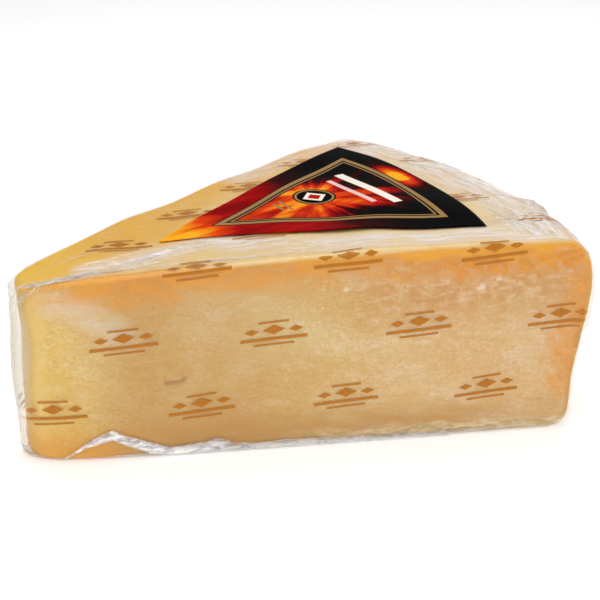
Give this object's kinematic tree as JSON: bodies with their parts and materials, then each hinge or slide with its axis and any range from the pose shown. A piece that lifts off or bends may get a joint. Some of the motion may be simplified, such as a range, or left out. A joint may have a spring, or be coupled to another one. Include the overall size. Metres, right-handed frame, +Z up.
{
  "type": "vacuum-packed hard cheese chunk",
  "caption": "Sector-shaped chunk of hard grana cheese, sealed in clear shrunk film with a pleated foot, a dark sector-shaped paper label lying on top.",
  "frame": {"origin": "under the middle of the chunk, at the middle of its box and at the height of its flat base", "axes": "+Z up; +X from the blunt tip towards the wheel's rim, along the middle of the chunk; +Y towards the back cut face"},
  "size_m": [0.1748, 0.1351, 0.0662],
  "materials": {
    "cheese_in_film": "hard cheese the colour of straw under clear, tight, satin film",
    "paper_label": "coated paper, dark with a warm glow, slightly glossy"
  },
  "bodies": {
    "root": {"cheese_pack": "cheese_in_film", "label": "paper_label"}
  },
  "joints": []
}
